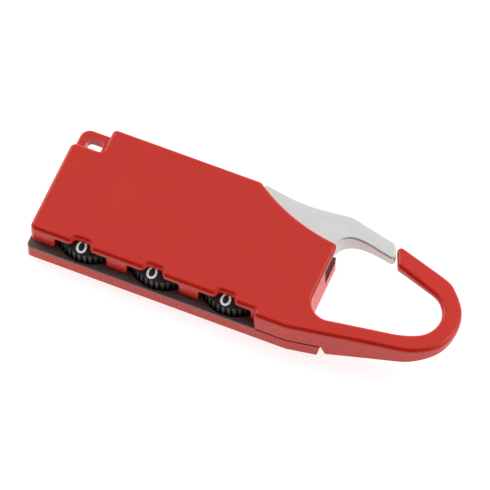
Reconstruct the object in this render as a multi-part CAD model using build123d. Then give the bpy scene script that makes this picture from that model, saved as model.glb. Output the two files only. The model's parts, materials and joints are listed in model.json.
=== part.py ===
from build123d import *
import os
from math import cos, sin, tan, radians

# Combination luggage padlock with a swinging-gate hook.
# Lengths are in millimetres. The drawing frame below has X from the keyring end to the hook,
# Y from the dial side to the back and Z up from the underside. Every piece is moved at the end
# so that the part's origin lies under the middle of its bounding box.

os.makedirs("parts", exist_ok=True)

# ---- housing ----
HEIGHT = 9.4
TOP_LEFT = -0.5
LOWER_LEFT = -0.6
BODY_LENGTH = 58.8
BODY_WIDTH = 29.65
BACK_CORNER = 22.05
ARC_START = 38.9
ARC_MIDDLE = (48.25, 24.55)
BOTTOM_HEIGHT = 3.6
PLATE_THICKNESS = 0.5
PLATE_TOP = BOTTOM_HEIGHT + PLATE_THICKNESS
SKIN = 1.3
END_WALL = 1.7
BACK_WALL = 1.55
TAB_WALL = 1.4
CAVITY_CORNERS = (37.5, 20.2)
FLOOR = 1.0
RECESS = 1.45
RECESS_END = 49.3
WALL_GAP = 0.8
TOP_EDGE_RADIUS = 0.8
LOWER_EDGE_RADIUS = 0.6
HOOK_LOWER_RADIUS = 0.7
TAB_LENGTH = 6.2
TAB_START = 23.5
TAB_BOTTOM = 2.7
TAB_TOP = 5.5
TAB_CORNER = 2.2
KEYRING_HOLE = (3.1, 26.1)
KEYRING_HOLE_SIZE = (3.6, 3.8)

# ---- dials ----
DIAL_X = [10.8, 26.75, 42.55]
DIAL_Y = 8.15
DIAL_RADIUS = 7.4
DIAL_BOTTOM = 3.8
DIAL_RIM_TOP = 7.0
DIAL_TOP = 8.0
DIAL_HUB_RADIUS = 4.6
DIAL_TEETH = 40
TOOTH_DEPTH = 0.5
WINDOW_WIDTH = 11.6
NOTCH_FRONT = 4.6
NOTCH_BACK = 3.1
NOTCH_DEPTH = 1.45
AXLE_RADIUS = 1.5
RUNNING_GAP = 0.05
CAM_RADIUS = 5.0
CAM_BOTTOM = 2.0
CAM_TOP = 3.3
HUB_RADIUS = 2.5
DIAL_CLEARANCE = 0.3
DIAL_POCKET_FLOOR = 2.8
DETENT_REACH = 5.6
DETENT_Y = 16.9
DETENT_THICKNESS = 0.25

# ---- hook ----
HOOK_START = 58.4
LOWER_ANGLE = 10.0
UPPER_ANGLE = 164.0
INNER_UPPER_ANGLE = 161.1
OUTER_CENTRE = (77.62, 14.51)
OUTER_START = 10.63
OUTER_END = 10.49
OUTER_BEND = [(-60, 10.68), (-47, 10.86), (-35, 11.05), (-18, 10.92), (2, 10.70), (25, 10.52), (50, 10.48)]
INNER_CENTRE = (78.05, 14.13)
INNER_START = 6.53
INNER_ROOT_LENGTH = 3.5
INNER_TIP_LENGTH = 8.3
INNER_BEND = [(-67, 6.14), (-42, 6.27), (-15, 6.33), (15, 6.32), (42, 6.25)]
TIP_IN = (71.6, 22.78)
TIP_SLANT = 112.8
TIP_RISE = 5.75
SEAM_END = 63.55
SHELL_SLANT = 0.75
HOOK_SLANT = 1.65

# ---- gate ----
GATE_PIVOT = (42.5, 24.0)
GATE_TOP = 8.0
GATE_BOTTOM = 3.4
TIP_BOTTOM = 5.2
GATE_EDGE_RADIUS = 0.4
LEVER_LOW = 4.4
LEVER_HIGH = 6.4
GATE_SWING = 25.0
GATE_HUB_RADIUS = 3.2
PIN_RADIUS = 1.2
SPRING_SEAT = 1.4
LEVER = 5.5
SILL_LOW = 2.75
SILL_TOP = 3.1

# ---- screws and reset ----
SCREWS = [(3.9, 19.6), (33.5, 26.0), (54.4, 5.2), (18.95, 3.3)]
SCREW_RADIUS = 0.8
SCREW_HEAD_RADIUS = 1.6
SCREW_HEAD_LOW = 0.35
SCREW_HEAD_HIGH = 1.25
SCREW_TOP = 7.2
TOWER_RADIUS = 1.6
LOWER_TOWER_RADIUS = 2.3
RESET_X = (DIAL_X[1] + DIAL_X[2]) / 2
RESET_RADIUS = 1.5
RESET_LOW = 1.1
RESET_HIGH = 1.35
BAR_LOW = 2.2
BAR_HIGH = 3.3


def near(shape, x, y):
    """Corner of a flat outline nearest to a point."""
    return shape.vertices().sort_by_distance((x, y, 0))[0]


def round_corners(outline, corners):
    """Round the corners (x, y, radius) of a flat outline."""
    for x, y, radius in corners:
        outline = fillet(near(outline, x, y), radius)
    return outline


def slab(outline, low, high):
    """Solid of a flat outline between two heights."""
    return Pos(0, 0, low) * extrude(outline, high - low)


def rod(x, y, radius, low, high):
    """Upright cylinder."""
    return Pos(x, y, (low + high) / 2) * Cylinder(radius, high - low)


def block(low_corner, high_corner):
    """Box from two opposite corners."""
    size = [high - low for low, high in zip(low_corner, high_corner)]
    middle = [(high + low) / 2 for low, high in zip(low_corner, high_corner)]
    return Pos(*middle) * Box(*size)


def ahead(point, angle, distance):
    """Point at a distance from another one in a direction."""
    return (point[0] + distance * cos(radians(angle)), point[1] + distance * sin(radians(angle)))


# ---- plan outlines ----
def bend_points(centre, bend):
    """Points round a centre from (angle, distance) pairs."""
    return [ahead(centre, angle, distance) for angle, distance in bend]


def heading(angle):
    """Unit direction at an angle."""
    return (cos(radians(angle)), sin(radians(angle)))


def hook_outline():
    """Hook seen from above: lower arm, bend and upper arm with a slanted end."""
    start_out = ahead(OUTER_CENTRE, LOWER_ANGLE - 90, OUTER_START)
    end_out = ahead(OUTER_CENTRE, UPPER_ANGLE - 90, OUTER_END)
    start_in = ahead(ahead(INNER_CENTRE, LOWER_ANGLE - 90, INNER_START), LOWER_ANGLE, -INNER_ROOT_LENGTH)
    end_in = ahead(TIP_IN, INNER_UPPER_ANGLE, -INNER_TIP_LENGTH)
    root_length = start_out[1] / sin(radians(LOWER_ANGLE))
    root_out = ahead(start_out, LOWER_ANGLE, -root_length)
    root_in = ahead(start_in, LOWER_ANGLE, INNER_ROOT_LENGTH - root_length)
    across = heading(UPPER_ANGLE - 90)
    reach = (end_out[0] - TIP_IN[0]) * across[0] + (end_out[1] - TIP_IN[1]) * across[1]
    tip_out = ahead(TIP_IN, TIP_SLANT, reach / cos(radians(TIP_SLANT - UPPER_ANGLE + 90)))
    outer_bend = Spline(start_out, *bend_points(OUTER_CENTRE, OUTER_BEND), end_out,
                        tangents=[heading(LOWER_ANGLE), heading(UPPER_ANGLE)])
    inner_bend = Spline(start_in, *bend_points(INNER_CENTRE, INNER_BEND), end_in,
                        tangents=[heading(LOWER_ANGLE), heading(INNER_UPPER_ANGLE)])
    edges = [
        Line(root_out, start_out),
        outer_bend,
        Line(end_out, tip_out),
        Line(tip_out, TIP_IN),
        Line(TIP_IN, end_in),
        inner_bend,
        Line(start_in, root_in),
        Line(root_in, (root_out[0] - 3, root_in[1])),
        Line((root_out[0] - 3, root_in[1]), (root_out[0] - 3, 0)),
        Line((root_out[0] - 3, 0), root_out),
    ]
    outline = make_face(Wire(edges))
    return round_corners(outline, [(*tip_out, 0.85), (*TIP_IN, 0.85)])


def body_outline(left, front, tab_corner):
    """Housing seen from above. The front edge of the dial section stands at the given depth."""
    edges = [
        Line((left, front), (RECESS_END, front)),
        Line((RECESS_END, front), (RECESS_END, 0)) if front > 0 else None,
        Line((RECESS_END, 0), (HOOK_START - 2, 0)),
        Line((HOOK_START - 2, 0), (BODY_LENGTH, 3)),
        Line((BODY_LENGTH, 3), (BODY_LENGTH, BACK_CORNER)),
        ThreePointArc((BODY_LENGTH, BACK_CORNER), ARC_MIDDLE, (ARC_START, BODY_WIDTH)),
        Line((ARC_START, BODY_WIDTH), (TAB_LENGTH, BODY_WIDTH)),
    ]
    if tab_corner:
        edges += [
            Line((TAB_LENGTH, BODY_WIDTH), (left, BODY_WIDTH)),
            Line((left, BODY_WIDTH), (left, front)),
        ]
    else:
        edges += [
            Line((TAB_LENGTH, BODY_WIDTH), (TAB_LENGTH, TAB_START)),
            Line((TAB_LENGTH, TAB_START), (left, TAB_START)),
            Line((left, TAB_START), (left, front)),
        ]
    return make_face(Wire([edge for edge in edges if edge]))


def digit_notch(x):
    """Opening in the top plate's front edge that shows one digit."""
    back = RECESS + NOTCH_DEPTH
    corners = [
        (x - NOTCH_FRONT / 2 - 0.3, RECESS - 2),
        (x - NOTCH_FRONT / 2, RECESS),
        (x - NOTCH_BACK / 2, back),
        (x + NOTCH_BACK / 2, back),
        (x + NOTCH_FRONT / 2, RECESS),
        (x + NOTCH_FRONT / 2 + 0.3, RECESS - 2),
    ]
    return make_face(Polyline(*corners, close=True))


def top_outline():
    """Top shell with the hook and the digit notches, seen from above."""
    outline = body_outline(TOP_LEFT, RECESS, False) + hook_outline()
    corners = [
        (TOP_LEFT, RECESS, 1.3),
        (RECESS_END, RECESS, 0.4),
        (RECESS_END, 0, 0.9),
        (BODY_LENGTH, BACK_CORNER, 1.1),
        (ARC_START, BODY_WIDTH, 1.2),
        (TAB_LENGTH, BODY_WIDTH, 1.0),
        (TAB_LENGTH, TAB_START, 1.0),
        (TOP_LEFT, TAB_START, 1.3),
        (BODY_LENGTH, 4.4, 4.2),
        (HOOK_START - 1.5, 0, 4.0),
    ]
    for x in DIAL_X:
        outline -= digit_notch(x)
        back = RECESS + NOTCH_DEPTH
        corners += [
            (x - NOTCH_BACK / 2, back, 0.8),
            (x + NOTCH_BACK / 2, back, 0.8),
            (x - NOTCH_FRONT / 2, RECESS, 0.9),
            (x + NOTCH_FRONT / 2, RECESS, 0.9),
        ]
    return round_corners(outline, corners)


def lower_outline():
    """Bottom shell and chassis plate, seen from above, out to the seam under the hook's root."""
    root_width = 2 * (SEAM_END + 0.5 - HOOK_START + 3)
    hook_root = hook_outline() & (Pos(HOOK_START - 3, 4) * Rectangle(root_width, 20))
    outline = body_outline(LOWER_LEFT, 0, True) + hook_root
    corners = [
        (LOWER_LEFT, 0, 0.9),
        (LOWER_LEFT, BODY_WIDTH, TAB_CORNER),
        (ARC_START, BODY_WIDTH, 1.2),
        (BODY_LENGTH, BACK_CORNER, 1.4),
        (BODY_LENGTH, 4.4, 4.2),
        (HOOK_START - 1.5, 0, 4.0),
    ]
    return round_corners(outline, corners)


# ---- hook taper ----
def above_hook():
    """Space above the hook's top, which falls gently in one long curve towards the tip."""
    fall_radius = 150.0
    start = (HOOK_START, 8.6)
    direction = 56.3
    roll = Pos(start[0], start[1], 0) * Rot(0, 0, direction)
    profile = Polyline((0, HEIGHT), (60, HEIGHT), (60, HEIGHT + 20), (0, HEIGHT + 20), close=True)
    region = extrude(Plane.XZ * make_face(profile), 80, both=True)
    wheel = Pos(0, 0, HEIGHT - fall_radius) * Rot(90, 0, 0) * Cylinder(fall_radius, 200)
    slab_space = block((0, -80, HEIGHT - 6), (60, 80, HEIGHT + 20)) - wheel
    beyond_body = block((BODY_LENGTH + 0.1, -60, 0), (200, 90, 40))
    return (roll * (slab_space + region)) & beyond_body


def below_hook():
    """Space under the hook, whose underside rises from the root to the bend."""
    rise_angle = 12.2
    direction = 42.0
    origin = (58.7, 1.7)
    run = TIP_RISE / tan(radians(rise_angle))
    path = Polyline((0, 0), (run, TIP_RISE), (60, TIP_RISE), (60, -10), (0, -10), close=True)
    profile = fillet(near(make_face(path), run, TIP_RISE), 30)
    wedge = extrude(Plane.XZ * profile, 80, both=True)
    return Pos(origin[0], origin[1], 0) * Rot(0, 0, direction) * wedge


# ---- housings ----
def screw_towers(low, high, radius):
    """One round tower at each screw."""
    return [rod(x, y, radius, low, high) for x, y in SCREWS]


def gate_space(low, high):
    """Room that the gate and its lever sweep inside the housing."""
    plan = Polyline(
        (39.6, 33), (38.6, 28.5), (38.6, 20.2), (44.6, 19.3), (55.5, 14.4), (57.2, 14.4), (57.8, 15.5),
        (70, 15.5), (70, 33), close=True)
    return slab(make_face(plan), low, high)


def cavity_outline(front):
    """Inside of the housing, seen from above, behind a front wall's inner face."""
    end = BODY_LENGTH - END_WALL
    back = BODY_WIDTH - BACK_WALL
    tab_x = TAB_LENGTH + TAB_WALL
    tab_y = TAB_START - TAB_WALL
    outline = Polyline(
        (SKIN, front), (end, front), (end, CAVITY_CORNERS[1]), (CAVITY_CORNERS[0], back),
        (tab_x, back), (tab_x, tab_y), (SKIN, tab_y), close=True)
    return make_face(outline)


def front_opening():
    """Dial windows in the front wall and the shadow gap under it, as one upright outline."""
    low = PLATE_TOP - 1
    lip = PLATE_TOP + WALL_GAP
    top = HEIGHT - SKIN
    end = RECESS_END - 0.2
    shape = Pos((end - 3) / 2, (low + lip) / 2) * Rectangle(end + 3, lip - low)
    corners = []
    for x in DIAL_X:
        shape += Pos(x, (low + top) / 2) * Rectangle(WINDOW_WIDTH, top - low)
        for side in (-1, 1):
            edge = x + side * WINDOW_WIDTH / 2
            corners += [(edge, lip, 0.5), (edge, top, 0.5)]
    return Plane.XZ * round_corners(shape, corners)


def make_top_shell():
    outline = top_outline()
    shell = slab(outline, 0, HEIGHT)
    shell -= above_hook()
    shell -= below_hook()
    top_edges = shell.edges().filter_by(lambda edge: edge.center().Z > 7.5 and not is_upright(edge))
    shell = fillet(top_edges, TOP_EDGE_RADIUS)
    lower_edges = shell.edges().filter_by(
        lambda edge: edge.center().Z < 6.5 and edge.center().X > BODY_LENGTH + 6 and not is_upright(edge))
    shell = fillet(lower_edges, HOOK_LOWER_RADIUS)
    # seam under the hook's root: the bottom shell ends there in a slanted face
    seam = Polyline(
        (-5, -1), (SEAM_END + HOOK_SLANT, -1), (SEAM_END + HOOK_SLANT, 0), (SEAM_END + 0.05, PLATE_TOP),
        (-5, PLATE_TOP), close=True)
    shell -= extrude(Plane.XZ * make_face(seam), 40, both=True)
    shell -= Pos(0, RECESS + SKIN / 2) * extrude(front_opening(), SKIN, both=True)
    shell -= slab(cavity_outline(RECESS + SKIN), PLATE_TOP - 1, HEIGHT - SKIN)
    shell += block((BODY_LENGTH - 1.0, 8.0, BOTTOM_HEIGHT), (BODY_LENGTH, 15.4, PLATE_TOP + 0.1))
    shell -= gate_space(PLATE_TOP - 1, HEIGHT - SKIN)
    for tower in screw_towers(PLATE_TOP, HEIGHT - SKIN + 0.1, TOWER_RADIUS):
        shell += tower
    for x, y in SCREWS:
        shell -= rod(x, y, SCREW_RADIUS, PLATE_TOP - 1, SCREW_TOP + 0.2)
    for x in DIAL_X:
        shell -= rod(x, DIAL_Y, AXLE_RADIUS, HEIGHT - SKIN - 1, HEIGHT - SKIN + 0.5)
    shell -= rod(*GATE_PIVOT, PIN_RADIUS, HEIGHT - SKIN - 1, HEIGHT - SKIN + 0.5)
    return shell


def is_upright(edge):
    """Edge that runs from one height to another straight up."""
    box = edge.bounding_box()
    return box.size.Z > 0.8 and box.size.X < 0.01 and box.size.Y < 0.01


def make_bottom_shell():
    outline = lower_outline()
    shell = slab(outline, 0, BOTTOM_HEIGHT)
    shell = fillet(shell.edges().group_by(Axis.Z)[0], LOWER_EDGE_RADIUS)
    end = Polyline(
        (SEAM_END - SHELL_SLANT, -1), (SEAM_END - SHELL_SLANT, 0), (SEAM_END, PLATE_TOP), (SEAM_END + 9, 5),
        (SEAM_END + 9, -1), close=True)
    shell -= extrude(Plane.XZ * make_face(end), 40, both=True)
    shell -= slab(cavity_outline(SKIN), FLOOR, BOTTOM_HEIGHT + 1)
    for tower in screw_towers(FLOOR - 0.1, BOTTOM_HEIGHT, LOWER_TOWER_RADIUS):
        shell += tower & slab(outline, 0, BOTTOM_HEIGHT)
    # gate bearing and the lip that the gate sweeps over
    shell += rod(*GATE_PIVOT, 1.8, FLOOR - 0.1, SPRING_SEAT)
    shell -= gate_space(GATE_BOTTOM - 0.2, BOTTOM_HEIGHT + 1)
    gate_corner = block((52.5, 14, 2), (BODY_LENGTH - 0.25, 22.3, 9))
    shell -= gate_space(SILL_LOW - 0.05, BOTTOM_HEIGHT + 1) & gate_corner
    # keyring tab
    tab_plan = make_face(Polyline(
        (LOWER_LEFT, TAB_START), (TAB_LENGTH, TAB_START), (TAB_LENGTH, BODY_WIDTH),
        (LOWER_LEFT, BODY_WIDTH), close=True))
    tab_plan = round_corners(tab_plan, [(LOWER_LEFT, BODY_WIDTH, TAB_CORNER)])
    shell -= slab(Pos(0, 0.2) * tab_plan, -1, TAB_BOTTOM)
    tab = slab(tab_plan, TAB_BOTTOM, TAB_TOP)
    tab = fillet(tab.edges().filter_by(lambda e: not is_upright(e) and e.center().X < 5.5), 0.5)
    tab -= block((TAB_LENGTH - 0.35, 0, BOTTOM_HEIGHT), (9, 40, TAB_TOP + 1))
    tab -= block((-2, TAB_START - 1, BOTTOM_HEIGHT), (9, TAB_START + 0.3, TAB_TOP + 1))
    shell += tab
    hole = fillet(Rectangle(*KEYRING_HOLE_SIZE).vertices(), 0.9)
    shell -= slab(Pos(*KEYRING_HOLE) * hole, -1, TAB_TOP + 1)
    # screw holes, axle seats and reset hole
    for x, y in SCREWS:
        shell -= rod(x, y, SCREW_HEAD_RADIUS + 0.15, -1, SCREW_HEAD_HIGH)
        shell -= rod(x, y, SCREW_RADIUS + 0.1, 0, BOTTOM_HEIGHT + 1)
    for x in DIAL_X:
        shell -= rod(x, DIAL_Y, AXLE_RADIUS, 0.5, FLOOR + 1)
        shell -= rod(x, DIAL_Y, DIAL_RADIUS + DIAL_CLEARANCE, DIAL_POCKET_FLOOR, BOTTOM_HEIGHT + 1)
    shell -= rod(*GATE_PIVOT, PIN_RADIUS, 0.6, BOTTOM_HEIGHT + 1)
    shell -= rod(RESET_X, DIAL_Y, RESET_RADIUS + 0.1, -1, FLOOR + 1)
    return shell


def make_chassis_plate():
    plate = slab(lower_outline(), BOTTOM_HEIGHT, PLATE_TOP)
    end = Polyline((SEAM_END - 0.15, 0), (SEAM_END, 6), (SEAM_END + 9, 6), (SEAM_END + 9, 0), close=True)
    plate -= extrude(Plane.XZ * make_face(end), 40, both=True)
    plate -= gate_space(BOTTOM_HEIGHT - 1, PLATE_TOP + 1)
    plate -= block((-1, TAB_START - 0.2, 3), (TAB_LENGTH + 0.15, BODY_WIDTH + 1, 5))
    # the edge stands back under the hook's root and leaves the end wall to the top shell
    edge_gap = lower_outline() - Pos(0, 0.25) * lower_outline()
    plate -= slab(edge_gap, 3, 5) & block((RECESS_END + 0.8, -1, 3), (SEAM_END + 2, 8, 5))
    plate -= block((BODY_LENGTH - 1.05, 7.95, 3), (BODY_LENGTH + 1, 15.5, 5))
    # black sill under the gate's opening
    plate += gate_space(SILL_LOW, SILL_TOP) & block((52.6, 14, 2), (BODY_LENGTH - 0.3, 22.2, 9))
    plate += block((55.6, 13.9, SILL_LOW), (57.0, 14.45, PLATE_TOP))
    lever_slot = SlotCenterToCenter(2.6, 2.4)
    pin_x = GATE_PIVOT[0] - LEVER * sin(radians(GATE_SWING)) / 2
    plate -= slab(Pos(pin_x, GATE_PIVOT[1] - LEVER + 0.25) * lever_slot, 3, 5)
    for x in DIAL_X:
        plate -= rod(x, DIAL_Y, DIAL_RADIUS + DIAL_CLEARANCE, 3, 5)
        for side in (-1, 1):
            post_x = x + side * DETENT_REACH
            plate += block(
                (post_x - 0.6, DETENT_Y - 0.7, BOTTOM_HEIGHT), (post_x + 0.6, DETENT_Y + 0.7, 6.8))
    for x, y in SCREWS:
        plate -= rod(x, y, SCREW_RADIUS + 0.1, 3, 5)
    return plate


# ---- dials and what turns with them ----
def make_dial(x):
    profile = Polyline(
        (AXLE_RADIUS + RUNNING_GAP, DIAL_TOP), (DIAL_HUB_RADIUS, DIAL_TOP),
        (DIAL_RADIUS - 0.15, DIAL_RIM_TOP),
        (DIAL_RADIUS, DIAL_RIM_TOP - 0.2), (DIAL_RADIUS, DIAL_BOTTOM + 0.2), (DIAL_RADIUS - 0.2, DIAL_BOTTOM),
        (HUB_RADIUS + 0.75, DIAL_BOTTOM), (HUB_RADIUS + 0.75, 5.4), (HUB_RADIUS, 5.4),
        (HUB_RADIUS, 7.1), (AXLE_RADIUS + RUNNING_GAP, 7.1), close=True)
    dial = revolve(Plane.XZ * make_face(profile), Axis.Z)
    pitch = 360 / DIAL_TEETH
    groove_plan = Pos(DIAL_RADIUS + 0.15, 0) * Rectangle(2 * TOOTH_DEPTH + 0.3, 0.56)
    groove_plan = fillet(groove_plan.vertices().group_by(Axis.X)[0], 0.2)
    groove = slab(groove_plan, DIAL_BOTTOM - 1, DIAL_RIM_TOP - 0.12)
    dial -= [Rot(0, 0, (i + 0.5) * pitch) * groove for i in range(DIAL_TEETH)]
    return Pos(x, DIAL_Y, 0) * dial


def make_cam(x):
    cam = rod(0, 0, CAM_RADIUS, CAM_BOTTOM, CAM_TOP) + rod(0, 0, HUB_RADIUS, CAM_BOTTOM, 5.4)
    for side in (-1, 1):
        key = block((2.0, -0.6, 4.3), (HUB_RADIUS + 0.75, 0.6, 5.3))
        cam += Rot(0, 0, 90 + 90 * side) * key
    cam -= rod(0, 0, AXLE_RADIUS + RUNNING_GAP, 0, 9)
    cam -= block((CAM_RADIUS - 1.4, -0.9, 0), (CAM_RADIUS + 1, 0.9, 4))
    return Pos(x, DIAL_Y, 0) * cam


def make_cam_spring(x):
    """Wave-spring stack between the cam's hub and the dial."""
    rings = [rod(0, 0, 2.35, z, z + 0.25) - rod(0, 0, 1.75, 0, 9) for z in (5.4, 6.0, 6.6)]
    links = [Rot(0, 0, 120 * i) * block((1.75, -0.3, 5.4), (2.3, 0.3, 7.1)) for i in range(3)]
    return Pos(x, DIAL_Y, 0) * (rings[0] + rings[1:] + links)


def make_detent(x):
    """Leaf spring whose bent middle rests against the dial's teeth."""
    bend_y = DETENT_Y - 0.4
    centre_line = Spline(
        (-DETENT_REACH, DETENT_Y), (-2.4, bend_y), (0, DIAL_Y + DIAL_RADIUS + 0.25), (2.4, bend_y),
        (DETENT_REACH, DETENT_Y))
    return Pos(x, 0, 0) * slab(trace(centre_line, DETENT_THICKNESS), 4.4, 6.4)


# ---- gate ----
def crosses_arm(edge):
    """Edge that runs across the underside of the gate from side to side."""
    size = edge.bounding_box().size
    return size.X < 0.6 and size.Y > 3


def make_gate():
    left_end = (39.5, 30.2)
    crest = (58.9, 29.85)
    tip_out = (69.4, 27.38)
    tip_in = (70.9, 23.7)
    root = (57.6, 21.0)
    outer = Spline(left_end, (44.4, 29.4), (48.5, 29.0), (52.4, 29.1), (56.2, 29.5), crest)
    inner = Spline(tip_in, (67.4, 24.3), (63.2, 25.15), (60.6, 25.0), (59.1, 24.05), (58.3, 22.7), root)
    plan = make_face(Wire([
        outer,
        Line(crest, tip_out),
        Line(tip_out, tip_in),
        inner,
        Line(root, (43.0, 21.2)),
        Line((43.0, 21.2), (39.5, 23.0)),
        Line((39.5, 23.0), left_end),
    ]))
    plan = round_corners(
        plan, [(*tip_out, 1.1), (*tip_in, 0.8), (*crest, 4.0), (*left_end, 0.5), (*root, 1.0)])
    arm = slab(plan, GATE_BOTTOM, GATE_TOP)
    under = make_face(Polyline(
        (50, 0), (50, GATE_BOTTOM), (60, GATE_BOTTOM), (67.5, TIP_BOTTOM), (80, TIP_BOTTOM), (80, 0),
        close=True))
    under = round_corners(under, [(60, GATE_BOTTOM, 8), (67.5, TIP_BOTTOM, 12)])
    arm -= extrude(Plane.XZ * under, 60, both=True)
    top_edges = arm.edges().filter_by(
        lambda e: e.center().Z > GATE_TOP - 0.01 and e.center().X > 45)
    arm = fillet(top_edges, GATE_EDGE_RADIUS)
    rims = arm.edges().filter_by(
        lambda e: e.center().Z < 6 and e.center().X > 45 and not is_upright(e) and not crosses_arm(e))
    arm = fillet(rims, GATE_EDGE_RADIUS)
    arm += rod(*GATE_PIVOT, GATE_HUB_RADIUS, GATE_BOTTOM, GATE_TOP)
    end = (GATE_PIVOT[0], GATE_PIVOT[1] - LEVER)
    arm += block((end[0] - 1.2, end[1], LEVER_LOW), (end[0] + 1.2, GATE_PIVOT[1], LEVER_HIGH))
    arm += rod(*end, 1.2, LEVER_LOW, LEVER_HIGH)
    arm += rod(*end, 0.9, BAR_LOW + 0.1, LEVER_LOW)
    arm -= rod(*GATE_PIVOT, PIN_RADIUS + RUNNING_GAP, 0, 12)
    return arm


def make_gate_spring():
    """Torsion spring of square wire round the gate's pin, with one leg against the housing."""
    inner = 1.3
    outer = 1.68
    wire = 0.35
    pitch = 0.5
    x, y = GATE_PIVOT
    spring = block((x + inner, y - 3.9, SPRING_SEAT + 0.1), (x + outer, y, SPRING_SEAT + 0.1 + wire))
    for turn in range(4):
        low = SPRING_SEAT + 0.1 + turn * pitch
        spring += rod(x, y, outer, low, low + wire) - rod(x, y, inner, low - 1, low + 1)
    for turn in range(3):
        low = SPRING_SEAT + 0.1 + turn * pitch
        spring += block((x - outer + 0.05, y - 0.2, low), (x - inner - 0.03, y + 0.2, low + pitch + wire))
    return spring


def make_lock_bar():
    """Slide under the chassis plate with one finger beside each cam."""
    bar = block((14.5, 17.0, BAR_LOW), (45.5, 20.0, BAR_HIGH))
    for x in DIAL_X:
        finger_x = x + CAM_RADIUS + 2.65
        bar += block((finger_x, DIAL_Y - 0.7, BAR_LOW), (finger_x + 1.5, 17.6, BAR_HIGH))
        bar += block((finger_x, 16.0, BAR_LOW), (finger_x + 1.5, 18.5, BAR_HIGH))
    bar += block((45.4, 17.0, BAR_LOW), (DIAL_X[2] + CAM_RADIUS + 4.15, 18.2, BAR_HIGH))
    drive_slot = slab(Pos(GATE_PIVOT[0], GATE_PIVOT[1] - LEVER + 0.25) * Rot(0, 0, 90)
                      * SlotCenterToCenter(0.8, 1.9), 0, 9)
    return bar - drive_slot


# ---- reset ----
def make_reset_plate():
    plate = block((DIAL_X[0], DIAL_Y - 1.2, RESET_LOW), (DIAL_X[2], DIAL_Y + 1.2, RESET_HIGH))
    for x in DIAL_X:
        plate += rod(x, DIAL_Y, 3.8, RESET_LOW, RESET_HIGH)
    for x in DIAL_X:
        plate -= rod(x, DIAL_Y, AXLE_RADIUS + 0.1, 0, 9)
    return plate


def make_reset_button():
    button = rod(RESET_X, DIAL_Y, RESET_RADIUS, 0.2, RESET_LOW)
    return button - rod(RESET_X, DIAL_Y, 0.5, 0, 0.45)


def make_screws():
    screws = []
    for x, y in SCREWS:
        screw = rod(x, y, SCREW_HEAD_RADIUS, SCREW_HEAD_LOW, SCREW_HEAD_HIGH)
        screw += rod(x, y, SCREW_RADIUS, SCREW_HEAD_HIGH, SCREW_TOP)
        screw -= block((x - 1.0, y - 0.18, 0), (x + 1.0, y + 0.18, SCREW_HEAD_LOW + 0.5))
        screw -= block((x - 0.18, y - 1.0, 0), (x + 0.18, y + 1.0, SCREW_HEAD_LOW + 0.5))
        screws.append(screw)
    return Compound(children=screws)


pieces = {
    "top_shell": make_top_shell(),
    "bottom_shell": make_bottom_shell(),
    "chassis_plate": make_chassis_plate(),
    "gate_arm": make_gate(),
    "gate_pin": rod(*GATE_PIVOT, PIN_RADIUS, 0.6, HEIGHT - SKIN + 0.5),
    "gate_spring": make_gate_spring(),
    "lock_bar": make_lock_bar(),
    "reset_plate": make_reset_plate(),
    "reset_button": make_reset_button(),
    "case_screws": make_screws(),
}
for number, x in enumerate(DIAL_X, start=1):
    pieces[f"dial_{number}"] = make_dial(x)
    pieces[f"dial_axle_{number}"] = rod(x, DIAL_Y, AXLE_RADIUS, 0.5, HEIGHT - SKIN + 0.5)
    pieces[f"code_cam_{number}"] = make_cam(x)
    pieces[f"cam_spring_{number}"] = make_cam_spring(x)
    pieces[f"detent_spring_{number}"] = make_detent(x)
for number in (1, 2, 3):
    pieces["chassis_plate"] -= pieces[f"detent_spring_{number}"]
    pieces[f"dial_{number}"] -= pieces[f"code_cam_{number}"]

whole = Compound(children=[Compound(shape.solids()) for shape in pieces.values()]).bounding_box()
origin_shift = Pos(-whole.center().X, -whole.center().Y, -whole.min.Z)
print("size", whole.size, "shift", origin_shift)
for name, shape in pieces.items():
    export_step(origin_shift * shape, f"parts/{name}.step")
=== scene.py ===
import bpy
import json
from math import sin, cos, radians, pi, tau, hypot
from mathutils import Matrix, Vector


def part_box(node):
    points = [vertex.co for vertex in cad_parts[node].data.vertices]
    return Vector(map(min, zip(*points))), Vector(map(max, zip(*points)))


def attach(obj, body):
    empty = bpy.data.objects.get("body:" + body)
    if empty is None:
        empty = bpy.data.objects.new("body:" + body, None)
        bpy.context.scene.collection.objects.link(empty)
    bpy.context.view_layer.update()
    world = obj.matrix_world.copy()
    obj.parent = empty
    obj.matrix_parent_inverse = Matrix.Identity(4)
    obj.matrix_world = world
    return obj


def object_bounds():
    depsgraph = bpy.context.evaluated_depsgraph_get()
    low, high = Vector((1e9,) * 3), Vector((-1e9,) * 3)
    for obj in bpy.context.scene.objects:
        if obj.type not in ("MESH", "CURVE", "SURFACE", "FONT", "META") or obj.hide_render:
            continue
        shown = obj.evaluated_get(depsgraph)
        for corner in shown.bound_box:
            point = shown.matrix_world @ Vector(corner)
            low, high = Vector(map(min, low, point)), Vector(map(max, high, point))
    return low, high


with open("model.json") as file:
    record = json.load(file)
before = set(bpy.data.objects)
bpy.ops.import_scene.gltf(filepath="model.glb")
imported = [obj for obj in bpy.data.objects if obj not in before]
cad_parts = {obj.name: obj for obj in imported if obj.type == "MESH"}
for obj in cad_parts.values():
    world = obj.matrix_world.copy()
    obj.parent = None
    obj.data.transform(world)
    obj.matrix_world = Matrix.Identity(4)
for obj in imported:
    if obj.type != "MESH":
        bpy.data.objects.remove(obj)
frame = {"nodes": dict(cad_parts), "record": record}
cad_low, cad_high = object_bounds()
MM = 0.001


# ---------------------------------------------------------------- node helpers
def new_material(name):
    """Material, its node tree and its main shader."""
    material = bpy.data.materials.new(name)
    material.use_nodes = True
    tree = material.node_tree
    shader = tree.nodes["Principled BSDF"]
    return material, tree, shader


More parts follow.
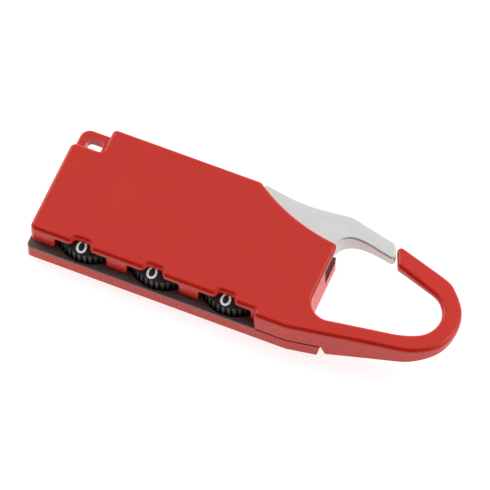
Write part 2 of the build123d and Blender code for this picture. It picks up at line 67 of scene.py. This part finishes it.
def add(tree, kind, **settings):
    """A node with its properties and the values of its named inputs."""
    node = tree.nodes.new(kind)
    for name, value in settings.items():
        if hasattr(node, name):
            setattr(node, name, value)
        else:
            node.inputs[name.replace("_", " ")].default_value = value
    return node


def object_coordinates(tree):
    return tree.nodes.new("ShaderNodeTexCoord").outputs["Object"]


def noise(tree, scale, detail=2.0, roughness=0.5):
    """Noise with features of about 1/scale metres."""
    node = add(tree, "ShaderNodeTexNoise", Scale=scale, Detail=detail, Roughness=roughness)
    tree.links.new(object_coordinates(tree), node.inputs["Vector"])
    return node.outputs["Fac"]


def ramp(tree, value, stops):
    """Colour ramp of (position, colour or grey) stops."""
    node = tree.nodes.new("ShaderNodeValToRGB")
    elements = node.color_ramp.elements
    while len(elements) < len(stops):
        elements.new(0.5)
    for element, (position, colour) in zip(elements, stops):
        element.position = position
        grey = isinstance(colour, float)
        element.color = (colour, colour, colour, 1) if grey else (*colour, 1)
    tree.links.new(value, node.inputs["Fac"])
    return node.outputs["Color"]


def multiply(tree, first, second):
    """Product of two colours, as for a fine grain over a tone."""
    node = tree.nodes.new("ShaderNodeMix")
    node.data_type = "RGBA"
    node.blend_type = "MULTIPLY"
    node.inputs["Factor"].default_value = 1.0
    colours = [socket for socket in node.inputs if socket.type == "RGBA"]
    for colour, socket in zip((first, second), colours):
        tree.links.new(colour, socket)
    return next(socket for socket in node.outputs if socket.type == "RGBA")


def bump(tree, height, strength, distance, below=None):
    """Surface relief, over the relief below it if there is one."""
    node = add(tree, "ShaderNodeBump", Strength=strength, Distance=distance)
    tree.links.new(height, node.inputs["Height"])
    if below is not None:
        tree.links.new(below, node.inputs["Normal"])
    return node.outputs["Normal"]


# ---------------------------------------------------------------- materials
METAL_GRAIN = 4000


def red_paint():
    """Satin red paint over a cast housing: faint orange peel and slow colour drift."""
    material, tree, shader = new_material("satin_red_paint")
    drift = ramp(tree, noise(tree, 90, 3), [(0.3, (0.630, 0.0165, 0.0045)), (0.7, (0.665, 0.0190, 0.0060))])
    grain = ramp(tree, noise(tree, 3000, 3), [(0.3, 0.97), (0.7, 1.0)])
    tree.links.new(multiply(tree, drift, grain), shader.inputs["Base Color"])
    sheen = ramp(tree, noise(tree, 900, 3), [(0.3, 0.25), (0.7, 0.31)])
    tree.links.new(sheen, shader.inputs["Roughness"])
    peel = bump(tree, noise(tree, 1500, 2), 0.10, 0.02 * MM)
    waves = bump(tree, noise(tree, 220, 2), 0.10, 0.08 * MM, peel)
    tree.links.new(waves, shader.inputs["Normal"])
    shader.inputs["IOR"].default_value = 1.41
    return material


def satin_silver():
    """Plated gate with a fine satin grain."""
    material, tree, shader = new_material("satin_silver")
    tone = ramp(tree, noise(tree, 300, 3), [(0.3, (0.700, 0.705, 0.700)), (0.7, (0.745, 0.750, 0.745))])
    grain = ramp(tree, noise(tree, 4000, 3), [(0.3, 0.94), (0.7, 1.0)])
    tree.links.new(multiply(tree, tone, grain), shader.inputs["Base Color"])
    tree.links.new(ramp(tree, noise(tree, 2500, 3), [(0.3, 0.42), (0.7, 0.52)]), shader.inputs["Roughness"])
    tree.links.new(bump(tree, noise(tree, 3500, 2), 0.18, 0.04 * MM), shader.inputs["Normal"])
    shader.inputs["Metallic"].default_value = 0.6
    return material


def moulded_black(name, low, high, roughness):
    """Moulded plastic with a fine spark-eroded texture."""
    material, tree, shader = new_material(name)
    tree.links.new(ramp(tree, noise(tree, 700, 3), [(0.3, low), (0.7, high)]), shader.inputs["Base Color"])
    spread = ramp(tree, noise(tree, 3000, 2), [(0.3, roughness - 0.06), (0.7, roughness + 0.06)])
    tree.links.new(spread, shader.inputs["Roughness"])
    tree.links.new(bump(tree, noise(tree, 8000, 2), 0.25, 0.04 * MM), shader.inputs["Normal"])
    return material


def metal(name, low, high, roughness):
    """Bare or plated metal with a fine grain."""
    material, tree, shader = new_material(name)
    tree.links.new(ramp(tree, noise(tree, 400, 3), [(0.3, low), (0.7, high)]), shader.inputs["Base Color"])
    spread = ramp(tree, noise(tree, METAL_GRAIN, 3), [(0.3, roughness - 0.07), (0.7, roughness + 0.07)])
    tree.links.new(spread, shader.inputs["Roughness"])
    tree.links.new(bump(tree, noise(tree, METAL_GRAIN, 2), 0.15, 0.03 * MM), shader.inputs["Normal"])
    shader.inputs["Metallic"].default_value = 1.0
    return material


def white_print_painted_glow():
    """Pad-printed white ink, with a faint white emission as a painted glow that brightens the numerals."""
    material, tree, shader = new_material("white_print_painted_glow")
    ink = ramp(tree, noise(tree, 3500, 3), [(0.3, (0.86, 0.88, 0.89)), (0.7, (0.94, 0.95, 0.96))])
    tree.links.new(ink, shader.inputs["Base Color"])
    tree.links.new(ramp(tree, noise(tree, 2500, 2), [(0.3, 0.5), (0.7, 0.62)]), shader.inputs["Roughness"])
    tree.links.new(bump(tree, noise(tree, 6000, 2), 0.2, 0.02 * MM), shader.inputs["Normal"])
    # The white emission is painted light: a glow that lifts the ink above what the lamps give it.
    shader.inputs["Emission Color"].default_value = (1, 1, 1, 1)
    shader.inputs["Emission Strength"].default_value = 0.18
    return material


MATERIALS = {
    "red_housing": red_paint(),
    "satin_silver": satin_silver(),
    "dial_black": moulded_black("dial_black", (0.018, 0.016, 0.015), (0.028, 0.025, 0.024), 0.42),
    "black_plastic": moulded_black("black_plastic", (0.150, 0.105, 0.098), (0.185, 0.130, 0.120), 0.55),
    "steel": metal("plated_steel", (0.52, 0.53, 0.54), (0.62, 0.63, 0.64), 0.32),
    "spring_steel": metal("spring_steel", (0.38, 0.39, 0.41), (0.50, 0.51, 0.53), 0.30),
    "brass": metal("cam_brass", (0.56, 0.40, 0.17), (0.66, 0.49, 0.22), 0.34),
}


WHITE_PRINT_PAINTED_GLOW = white_print_painted_glow()


def finish_cad_nodes():
    """Each CAD node gets the material of its slot in the record."""
    for row in frame["record"]["subparts"]:
        piece = frame["nodes"][row["node"]]
        piece.data.materials.clear()
        piece.data.materials.append(MATERIALS[row["material_slot"]])


# ---------------------------------------------------------------- dial numerals
# The cone of a dial runs between two (radius, height) circles.
DIGIT_HEIGHT = 2.75 * MM
DIGIT_WIDTH = 1.7 * MM
STROKE = 0.46 * MM
DIAL_TURNS = {1: 0.0, 2: -4.0, 3: 0.0}
INK = 0.02 * MM
EXTRA_INK = 0.25
SHARPEST_TURN = 0.5
WIDEST_MITRE = 1.6
CONE_LOW = (7.25 * MM, 7.0 * MM)
CONE_HIGH = (4.6 * MM, 8.0 * MM)
DIGIT_RADIUS = 5.9 * MM


def arc(x, y, rx, ry, start, end, steps=20):
    """Points of an ellipse's arc in the digit's own square, angles in degrees."""
    angles = [radians(start + (end - start) * i / steps) for i in range(steps + 1)]
    return [(x + rx * cos(a), y + ry * sin(a)) for a in angles]


def strokes_of(digit):
    """Centre lines of a plain numeral. x runs from -0.5 to 0.5 and y from -0.5 to 0.5."""
    shapes = {
        0: [arc(0, 0, 0.5, 0.5, 0, 360, 40)],
        1: [[(-0.28, 0.28), (0.06, 0.5), (0.06, -0.5)]],
        2: [arc(0, 0.22, 0.42, 0.28, 165, -30) + [(-0.45, -0.5), (0.47, -0.5)]],
        3: [arc(0, 0.25, 0.4, 0.25, 150, -90), arc(0, -0.24, 0.45, 0.26, 90, -150)],
        4: [[(0.2, -0.5), (0.2, 0.5), (-0.48, -0.2), (0.5, -0.2)]],
        5: [[(0.42, 0.5), (-0.33, 0.5), (-0.38, 0.08)] + arc(0, -0.17, 0.44, 0.33, 130, -145)],
        6: [arc(0, -0.19, 0.42, 0.31, 0, 360, 32), arc(0.5, -0.15, 0.92, 0.65, 175, 105, 12)],
        7: [[(-0.45, 0.5), (0.45, 0.5), (-0.12, -0.5)]],
        8: [arc(0, 0.25, 0.36, 0.25, 0, 360, 28), arc(0, -0.24, 0.44, 0.26, 0, 360, 28)],
        9: [arc(0, 0.19, 0.42, 0.31, 0, 360, 32), arc(-0.5, 0.15, 0.92, 0.65, -5, -75, 12)],
    }
    return shapes[digit]


def ribbon(points, width):
    """Left and right sides of a stroke about its centre line, in metres."""
    closed = hypot(points[0][0] - points[-1][0], points[0][1] - points[-1][1]) < 1e-9
    count = len(points)
    sides = []
    for i, (x, y) in enumerate(points):
        before = points[(i - 1) % (count - 1)] if closed else points[max(i - 1, 0)]
        after = points[(i + 1) % (count - 1)] if closed else points[min(i + 1, count - 1)]
        into = Vector((x - before[0], y - before[1]))
        out = Vector((after[0] - x, after[1] - y))
        into = into.normalized() if into.length > 0 else out.normalized()
        out = out.normalized() if out.length > 0 else into
        along = (into + out).normalized()
        widening = min(1 / max(along.dot(into), SHARPEST_TURN), WIDEST_MITRE)
        normal = Vector((-along.y, along.x)) * width / 2 * widening
        sides.append(((x + normal.x, y + normal.y), (x - normal.x, y - normal.y)))
    return sides


def on_cone(centre, turn, x, y, lift):
    """Point of a numeral laid on the dial's cone; y points towards the dial's axis."""
    slope = (CONE_HIGH[1] - CONE_LOW[1]) / (CONE_LOW[0] - CONE_HIGH[0])
    length = hypot(1, slope)
    radius = DIGIT_RADIUS - y / length
    height = CONE_LOW[1] + (CONE_LOW[0] - radius) * slope
    angle = turn - pi / 2 + x / DIGIT_RADIUS
    radius += lift * slope / length
    height += lift / length
    return Vector((centre[0] + radius * cos(angle), centre[1] + radius * sin(angle), height))


def numerals(number):
    """Numerals 0 to 9 printed round one dial, as thin closed strips of ink."""
    low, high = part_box(f"dial_{number}")
    centre = ((low.x + high.x) / 2, (low.y + high.y) / 2)
    vertices = []
    faces = []
    for digit in range(10):
        turn = tau * digit / 10 + radians(DIAL_TURNS[number])
        for order, stroke in enumerate(strokes_of(digit)):
            scaled = [(x * DIGIT_WIDTH, y * (DIGIT_HEIGHT - STROKE)) for x, y in stroke]
            sides = ribbon(scaled, STROKE)
            top = INK * (1 + EXTRA_INK * order)
            start = len(vertices)
            for left, right in sides:
                vertices += [on_cone(centre, turn, *left, top), on_cone(centre, turn, *right, top)]
                vertices += [on_cone(centre, turn, *left, -INK), on_cone(centre, turn, *right, -INK)]
            for i in range(len(sides) - 1):
                a = start + 4 * i
                b = a + 4
                faces += [(a, a + 1, b + 1, b), (a + 2, b + 2, b + 3, a + 3)]
                faces += [(a, b, b + 2, a + 2), (a + 1, a + 3, b + 3, b + 1)]
            closed = (Vector(sides[0][0]) - Vector(sides[-1][0])).length < 1e-7
            if not closed:
                last = start + 4 * (len(sides) - 1)
                faces += [(start, start + 2, start + 3, start + 1), (last, last + 1, last + 3, last + 2)]
    mesh = bpy.data.meshes.new(f"numerals_{number}")
    mesh.from_pydata([tuple(v) for v in vertices], [], faces)
    mesh.validate()
    mesh.materials.append(WHITE_PRINT_PAINTED_GLOW)
    piece = bpy.data.objects.new(f"numerals_{number}", mesh)
    bpy.context.scene.collection.objects.link(piece)
    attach(piece, f"dial_wheel_{number}")
    return piece


# ---------------------------------------------------------------- studio
# Angles are in degrees; azimuth 0 looks from the dial side.
VIEW_AZIMUTH = 22.8
VIEW_ELEVATION = 59.7
LENS = 500.0
SENSOR = 36.0
VIEW_WIDTH = 99.3 * MM
AIM_OFFSET = (-2.26 * MM, -0.617 * MM)
FLOOR_SIZE = 6.0
FLOOR_GAP = 0.02 * MM
FLOOR_GLOW = 0.80
DARK_SIDE = (0, 25)
WORLD_STRENGTH = 1.05
SOFTBOX_DISTANCE = 1.3
# name: direction from the object, width in metres, radiance
SOFTBOXES = {
    "right_back": ((0.62, 0.42, 0.66), 0.62, 3.0),
    "left_back": ((-0.80, 0.36, 0.48), 0.62, 3.0),
    "left_front": ((-0.80, -0.50, 0.40), 0.50, 2.2),
    "right_front": ((0.88, -0.30, 0.40), 0.50, 1.3),
}


def view_direction(azimuth, elevation):
    """Unit vector from the object towards a viewer."""
    turn = radians(azimuth)
    rise = radians(elevation)
    return Vector((sin(turn) * cos(rise), -cos(turn) * cos(rise), sin(rise)))


def make_camera():
    """Long lens at the photograph's viewing angle."""
    data = bpy.data.cameras.new("camera")
    data.lens = LENS
    data.sensor_width = SENSOR
    data.clip_end = 20
    camera = bpy.data.objects.new("camera", data)
    bpy.context.scene.collection.objects.link(camera)
    back = view_direction(VIEW_AZIMUTH, VIEW_ELEVATION)
    aim = Vector((AIM_OFFSET[0], AIM_OFFSET[1], cad_high.z))
    camera.location = aim + back * (LENS * VIEW_WIDTH / SENSOR)
    camera.rotation_euler = back.to_track_quat("Z", "Y").to_euler()
    bpy.context.scene.camera = camera


def make_floor():
    """Pale floor just under the object, so that it doesn't coincide with the underside."""
    bpy.ops.mesh.primitive_plane_add(size=FLOOR_SIZE, location=(0, 0, cad_low.z - FLOOR_GAP))
    floor = bpy.context.object
    floor.name = "floor"
    material, tree, shader = new_material("pale_floor")
    tree.links.new(ramp(tree, noise(tree, 2, 2), [(0.3, 0.50), (0.7, 0.52)]), shader.inputs["Base Color"])
    shader.inputs["Roughness"].default_value = 0.9
    shader.inputs["Specular IOR Level"].default_value = 0.0
    shader.inputs["Emission Color"].default_value = (1, 1, 1, 1)
    shader.inputs["Emission Strength"].default_value = FLOOR_GLOW
    floor.data.materials.append(material)


def softbox(name, direction, size, radiance):
    """Square area light that faces the object and shows the stated radiance."""
    data = bpy.data.lights.new(name, "AREA")
    data.shape = "SQUARE"
    data.size = size
    data.energy = radiance * pi * size * size
    light = bpy.data.objects.new(name, data)
    bpy.context.scene.collection.objects.link(light)
    light.location = direction.normalized() * SOFTBOX_DISTANCE
    light.rotation_euler = direction.to_track_quat("Z", "Y").to_euler()


def make_world():
    """Bright surroundings with a dark room on the viewer's side."""
    world = bpy.data.worlds.new("studio")
    world.use_nodes = True
    tree = world.node_tree
    coordinates = tree.nodes.new("ShaderNodeTexCoord").outputs["Generated"]
    facing = add(tree, "ShaderNodeVectorMath", operation="DOT_PRODUCT")
    facing.inputs[1].default_value = view_direction(*DARK_SIDE)
    tree.links.new(coordinates, facing.inputs[0])
    shade = ramp(tree, facing.outputs["Value"], [(0.10, 1.0), (0.60, 0.0)])
    background = tree.nodes["Background"]
    tree.links.new(shade, background.inputs["Color"])
    background.inputs["Strength"].default_value = WORLD_STRENGTH
    bpy.context.scene.world = world


finish_cad_nodes()
for number in (1, 2, 3):
    numerals(number)
make_camera()
make_floor()
make_world()
for name, (direction, size, radiance) in SOFTBOXES.items():
    softbox(name, Vector(direction), size, radiance)
bpy.context.scene.view_settings.view_transform = "Standard"
